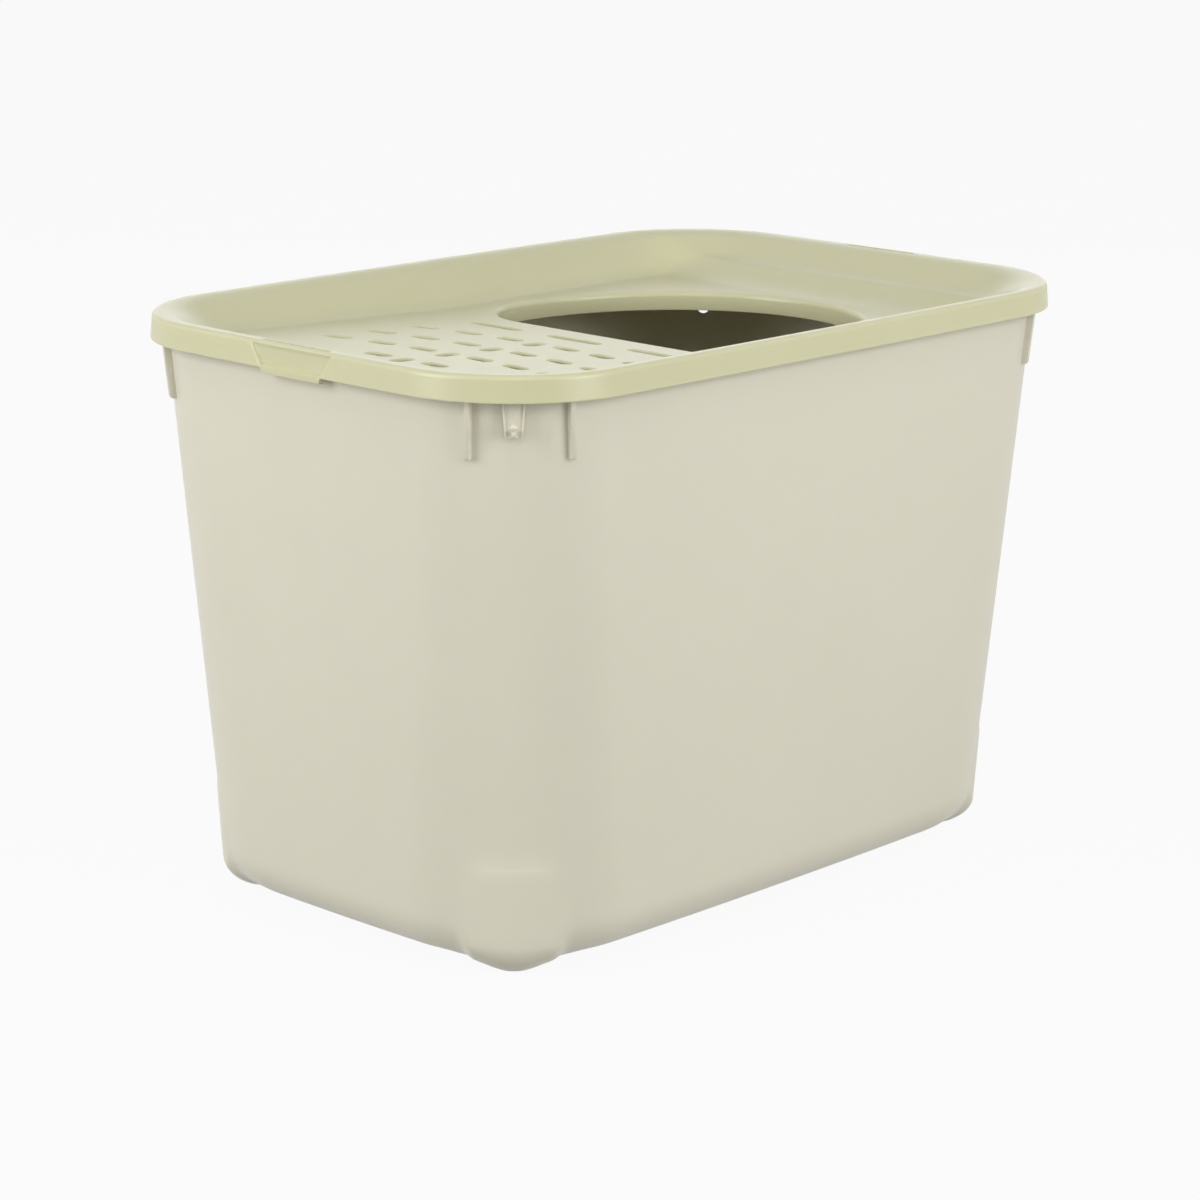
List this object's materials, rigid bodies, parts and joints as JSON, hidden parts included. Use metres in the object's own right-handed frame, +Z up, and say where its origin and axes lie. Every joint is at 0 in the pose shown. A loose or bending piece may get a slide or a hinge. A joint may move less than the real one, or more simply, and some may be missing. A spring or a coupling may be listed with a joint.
{
  "type": "top entry litter box",
  "caption": "Free-standing moulded tub with corner feet and a lift-off dished lid that has a D-shaped entry hole and a perforated ramp.",
  "frame": {"origin": "middle of the footprint at the level of the feet", "axes": "+X along the length, towards the end with the entry hole; +Y across the width; +Z up"},
  "size_m": [0.585, 0.39, 0.395],
  "materials": {
    "tub_plastic": "satin moulded polypropylene, warm off-white",
    "lid_plastic": "smooth satin-gloss moulded polypropylene, pale cream yellow"
  },
  "bodies": {
    "base": {"tub": "tub_plastic", "scoop_hook": "tub_plastic"},
    "lid": {"lid": "lid_plastic"}
  },
  "joints": [
    {"name": "lid_lift", "type": "slide", "parent": "base", "child": "lid", "axis": [0, 0, 1], "range_m": [0, 0.1]}
  ]
}
